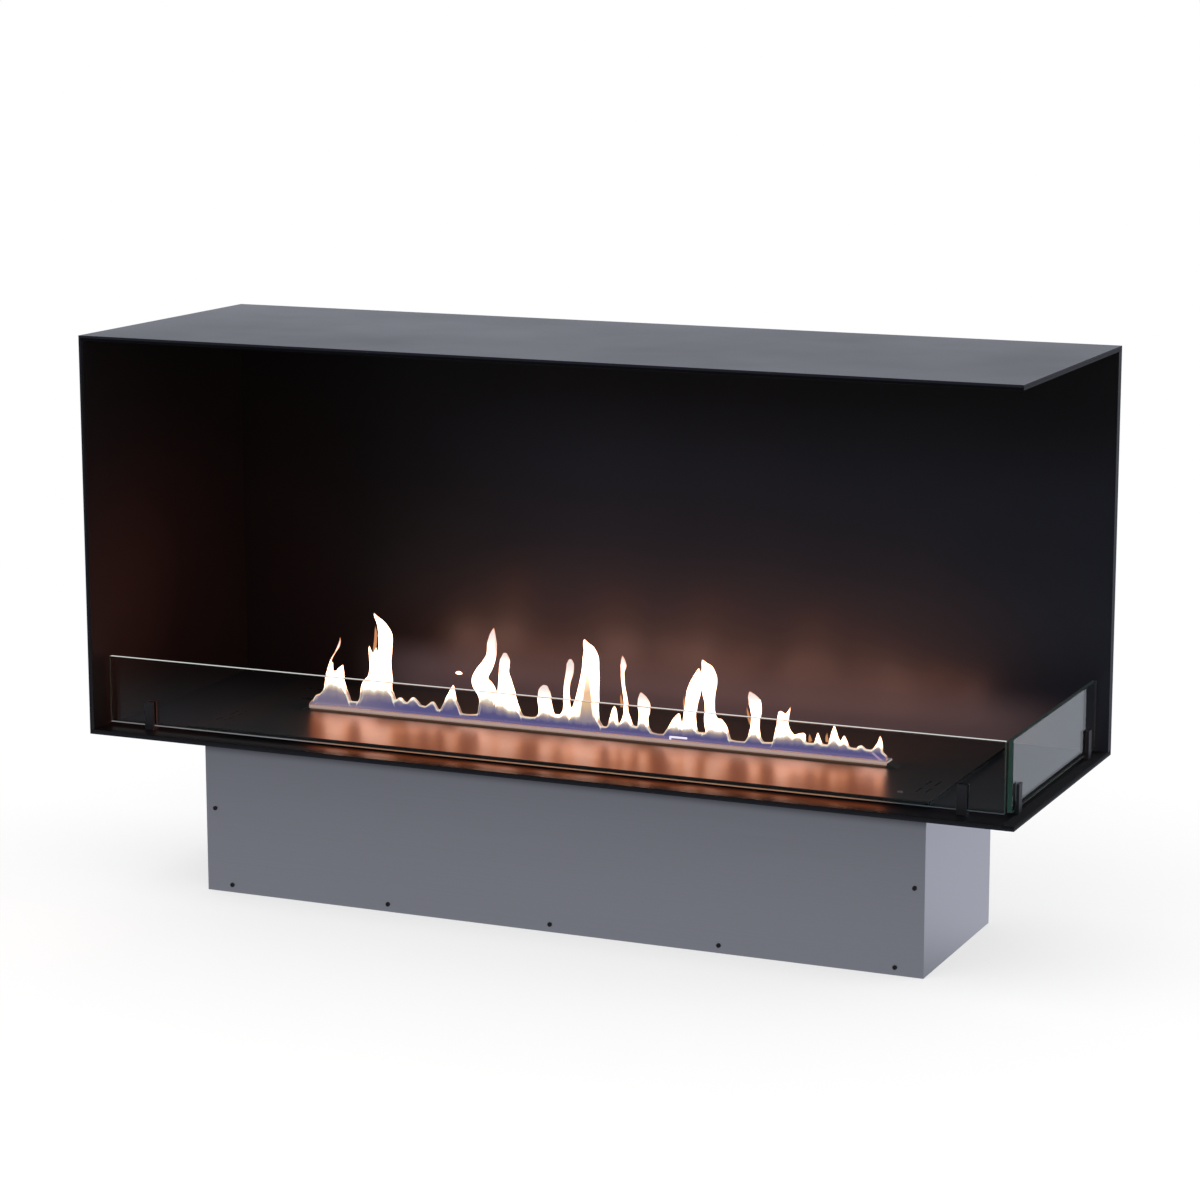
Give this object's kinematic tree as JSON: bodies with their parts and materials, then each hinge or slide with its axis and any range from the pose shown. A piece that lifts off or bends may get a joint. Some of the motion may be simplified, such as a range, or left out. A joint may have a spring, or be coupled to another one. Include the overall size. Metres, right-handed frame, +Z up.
{
  "type": "bioethanol fireplace",
  "caption": "Wide built-in bioethanol fireplace: black sheet steel firebox open at front and right, low glass screen, line burner, stainless burner box below.",
  "frame": {"origin": "on the standing surface under the middle of the fireplace, which is the bottom centre of its box", "axes": "+Z up, -Y out of the open front, +X out of the open right side and along the fireplace"},
  "size_m": [1.2, 0.4, 0.705],
  "materials": {
    "casing_black": "fine satin black powder coat",
    "liner_black": "smooth semi-gloss black heat-proof paint",
    "plain_steel": "plain sheet steel",
    "brushed_box": "stainless steel, brushed along its length",
    "black_screw": "black oxide",
    "zinc_nut": "zinc plated",
    "plate_black": "glossy black enamel",
    "ramp_black": "satin black enamel",
    "lip_steel": "satin stainless steel, a little heat tinted",
    "seal_rubber": "matte silicone rubber",
    "clip_black": "satin black",
    "clear_glass": "clear toughened glass, green at its edges",
    "wick_ceramic": "porous ceramic fibre",
    "tank_steel": "stainless steel, 2B finish",
    "float_foam": "closed foam",
    "pump_black": "moulded black",
    "valve_brass": "machined brass",
    "board_green": "coated circuit board",
    "board_black": "moulded black",
    "nylon_white": "natural nylon",
    "supply_grey": "moulded grey case",
    "socket_black": "moulded black"
  },
  "bodies": {
    "fireplace": {"back_cover": "casing_black", "back_liner": "liner_black", "back_spacers": "plain_steel", "base_cover": "casing_black", "board_parts": "board_black", "board_standoffs": "nylon_white", "box_back_panel": "brushed_box", "box_bottom_panel": "brushed_box", "box_front_panel": "brushed_box", "box_front_rail": "brushed_box", "box_left_end": "brushed_box", "box_right_end": "brushed_box", "burner_lip": "lip_steel", "burner_plate": "plate_black", "burner_trough": "plain_steel", "button_housing": "pump_black", "button_spring": "plain_steel", "ceramic_wick": "wick_ceramic", "clip_pads": "seal_rubber", "control_board": "board_green", "fan_frame": "pump_black", "filler_neck": "tank_steel", "flame_sensor": "lip_steel", "floor_liner": "liner_black", "front_clip_left": "clip_black", "front_clip_right": "clip_black", "front_panel_screws": "black_screw", "fuel_pipes": "tank_steel", "fuel_pump": "pump_black", "fuel_tank": "tank_steel", "hatch_hinge_bracket": "plain_steel", "hatch_hinge_pin": "plain_steel", "heat_shield": "plain_steel", "igniter_holder": "wick_ceramic", "igniter_rod": "lip_steel", "left_cover": "casing_black", "left_liner": "liner_black", "level_stem": "tank_steel", "lip_end_ramps": "ramp_black", "lip_plinth": "ramp_black", "mains_inlet": "socket_black", "plate_gasket": "seal_rubber", "power_supply": "supply_grey", "side_clip_front": "clip_black", "side_clip_rear": "clip_black", "solenoid_valve": "valve_brass", "switch_housing": "socket_black", "tank_feet": "plain_steel", "top_cover": "casing_black", "top_liner": "liner_black", "wall_fixing_nuts": "zinc_nut"},
    "front_pane": {"front_glass": "clear_glass"},
    "side_pane": {"side_glass": "clear_glass"},
    "filler_hatch": {"hatch_leaf": "plate_black", "hatch_plug": "seal_rubber"},
    "start_button": {"power_button": "lip_steel"},
    "fuel_float": {"level_float": "float_foam"},
    "fan_wheel": {"fan_rotor": "pump_black"},
    "rocker": {"switch_rocker": "socket_black"}
  },
  "joints": [
    {"name": "front_glass_lift", "type": "slide", "parent": "fireplace", "child": "front_pane", "axis": [0, 0, 1], "range_m": [0, 0.12]},
    {"name": "side_glass_lift", "type": "slide", "parent": "fireplace", "child": "side_pane", "axis": [0, 0, 1], "range_m": [0, 0.12]},
    {"name": "filler_hatch_hinge", "type": "hinge", "parent": "fireplace", "child": "filler_hatch", "pos_m": [-0.422, 0.093, 0.214], "axis": [-1, 0, 0], "range_deg": [0, 90]},
    {"name": "start_button_press", "type": "slide", "parent": "fireplace", "child": "start_button", "axis": [0, 0, -1], "range_m": [0, 0.0015], "stiffness_N_per_m": 200, "springref_m": -0.004, "deforming": ["button_spring"]},
    {"name": "fuel_float_rise", "type": "slide", "parent": "fireplace", "child": "fuel_float", "axis": [0, 0, 1], "range_m": [0, 0.1]},
    {"name": "fan_spin", "type": "hinge", "parent": "fireplace", "child": "fan_wheel", "pos_m": [0.4, 0.11, 0.09], "axis": [0, 1, 0], "continuous": true},
    {"name": "rocker_tilt", "type": "hinge", "parent": "fireplace", "child": "rocker", "pos_m": [0.27, 0.1185, 0.06], "axis": [1, 0, 0], "range_deg": [-24, 0]}
  ]
}
